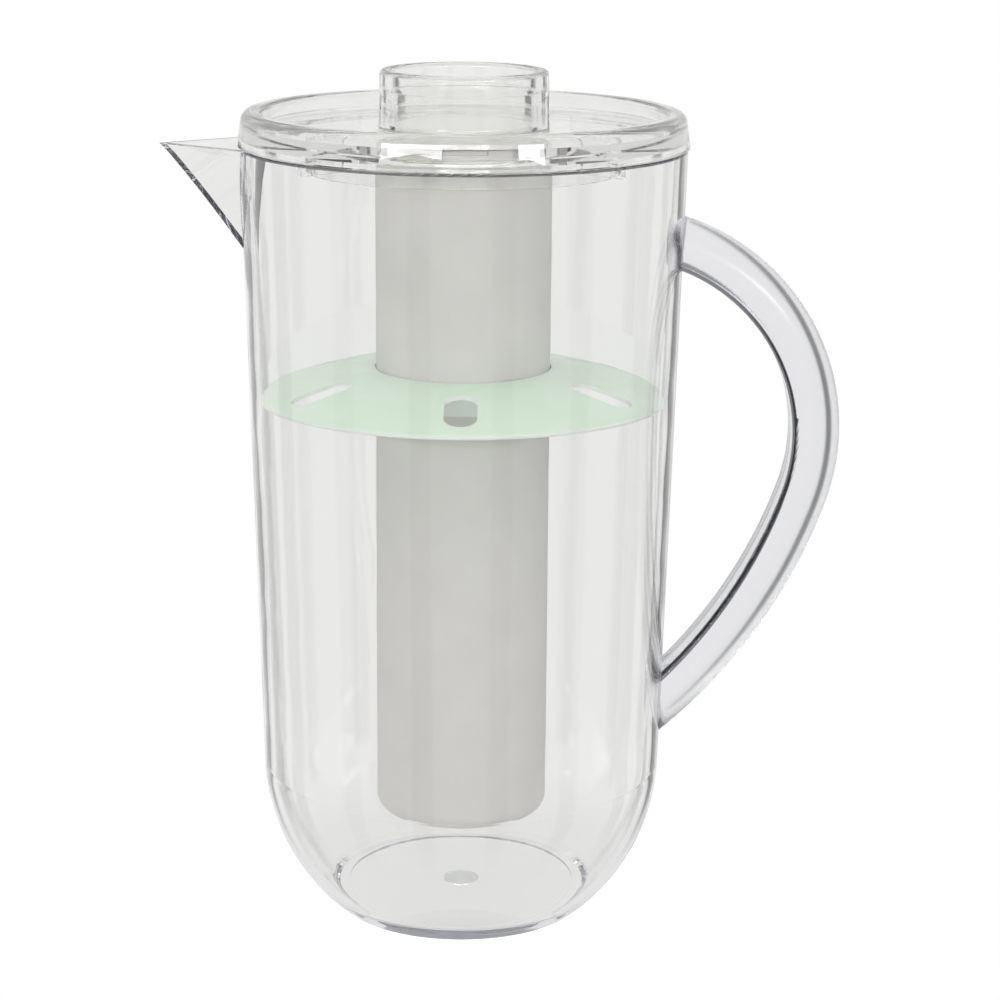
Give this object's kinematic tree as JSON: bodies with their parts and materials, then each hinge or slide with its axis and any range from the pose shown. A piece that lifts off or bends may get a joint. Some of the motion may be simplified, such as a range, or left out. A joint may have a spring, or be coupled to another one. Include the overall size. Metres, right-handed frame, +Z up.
{
  "type": "fruit infuser pitcher",
  "caption": "Clear tapered pitcher with a round heel, V spout and loop handle; its collared lid carries a frosted ice tube with a sliding slotted disc that holds fruit under water.",
  "frame": {"origin": "centre of the foot ring, on the surface that the pitcher stands on", "axes": "+Z up along the jug's axis, -X towards the spout, +X towards the handle"},
  "size_m": [0.2141, 0.1402, 0.2707],
  "materials": {
    "clear_acrylic": "polished clear acrylic",
    "frosted_plastic": "fine frosted translucent plastic",
    "white_plastic": "satin milky plastic",
    "mint_plastic": "satin translucent plastic with a mint tint",
    "silicone": "translucent silicone"
  },
  "bodies": {
    "pitcher": {"pitcher_body": "clear_acrylic", "spout": "clear_acrylic", "handle": "clear_acrylic"},
    "lid": {"lid": "clear_acrylic"},
    "core": {"ice_tube": "frosted_plastic", "tube_neck": "frosted_plastic", "neck_gasket": "silicone"},
    "stopper": {"stopper": "white_plastic", "stopper_seal": "silicone"},
    "disc": {"infuser_disc": "mint_plastic"}
  },
  "joints": [
    {"name": "lid_lift", "type": "slide", "parent": "pitcher", "child": "lid", "axis": [0, 0, 1], "range_m": [0, 0.225]},
    {"name": "core_twist", "type": "hinge", "parent": "lid", "child": "core", "pos_m": [0, 0, 0.2485], "axis": [0, 0, 1], "range_deg": [0, 60]},
    {"name": "stopper_pull", "type": "slide", "parent": "core", "child": "stopper", "axis": [0, 0, 1], "range_m": [0, 0.03]},
    {"name": "disc_slide", "type": "slide", "parent": "core", "child": "disc", "axis": [0, 0, 1], "range_m": [0, 0.063]}
  ]
}
